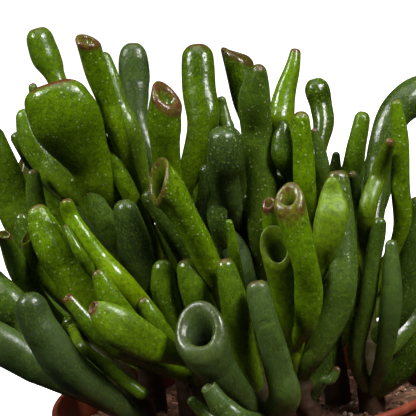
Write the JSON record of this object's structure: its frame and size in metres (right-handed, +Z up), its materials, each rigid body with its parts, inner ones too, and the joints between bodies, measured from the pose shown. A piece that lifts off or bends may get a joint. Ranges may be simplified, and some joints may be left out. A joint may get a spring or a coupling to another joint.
{
  "type": "potted trumpet jade",
  "caption": "Potted succulent with upright glossy finger and trumpet-mouthed leaves on short stems, standing in a round terracotta-coloured plastic nursery pot filled with soil.",
  "frame": {"origin": "middle of the pot's underside, on the surface the pot stands on", "axes": "+Z up along the pot's axis, -Y towards the front of the plant, +X to its right seen from the front"},
  "size_m": [0.1553, 0.12, 0.2171],
  "materials": {
    "pot": "satin",
    "soil": "matte",
    "leaf": "satin"
  },
  "bodies": {
    "root": {"pot": "pot", "potting_soil": "soil", "leafy_stem_left_low": "leaf", "leafy_stem_left_fan": "leaf", "leafy_stem_left_tall": "leaf", "leafy_stem_middle_left": "leaf", "leafy_stem_front": "leaf", "leafy_stem_middle_tall": "leaf", "leafy_stem_front_right": "leaf", "leafy_stem_right_tall": "leaf", "leafy_stem_far_right": "leaf", "leafy_stem_far_left": "leaf", "leafy_stem_back_left": "leaf", "leafy_stem_back_middle": "leaf", "leafy_stem_back_right": "leaf"}
  },
  "joints": []
}
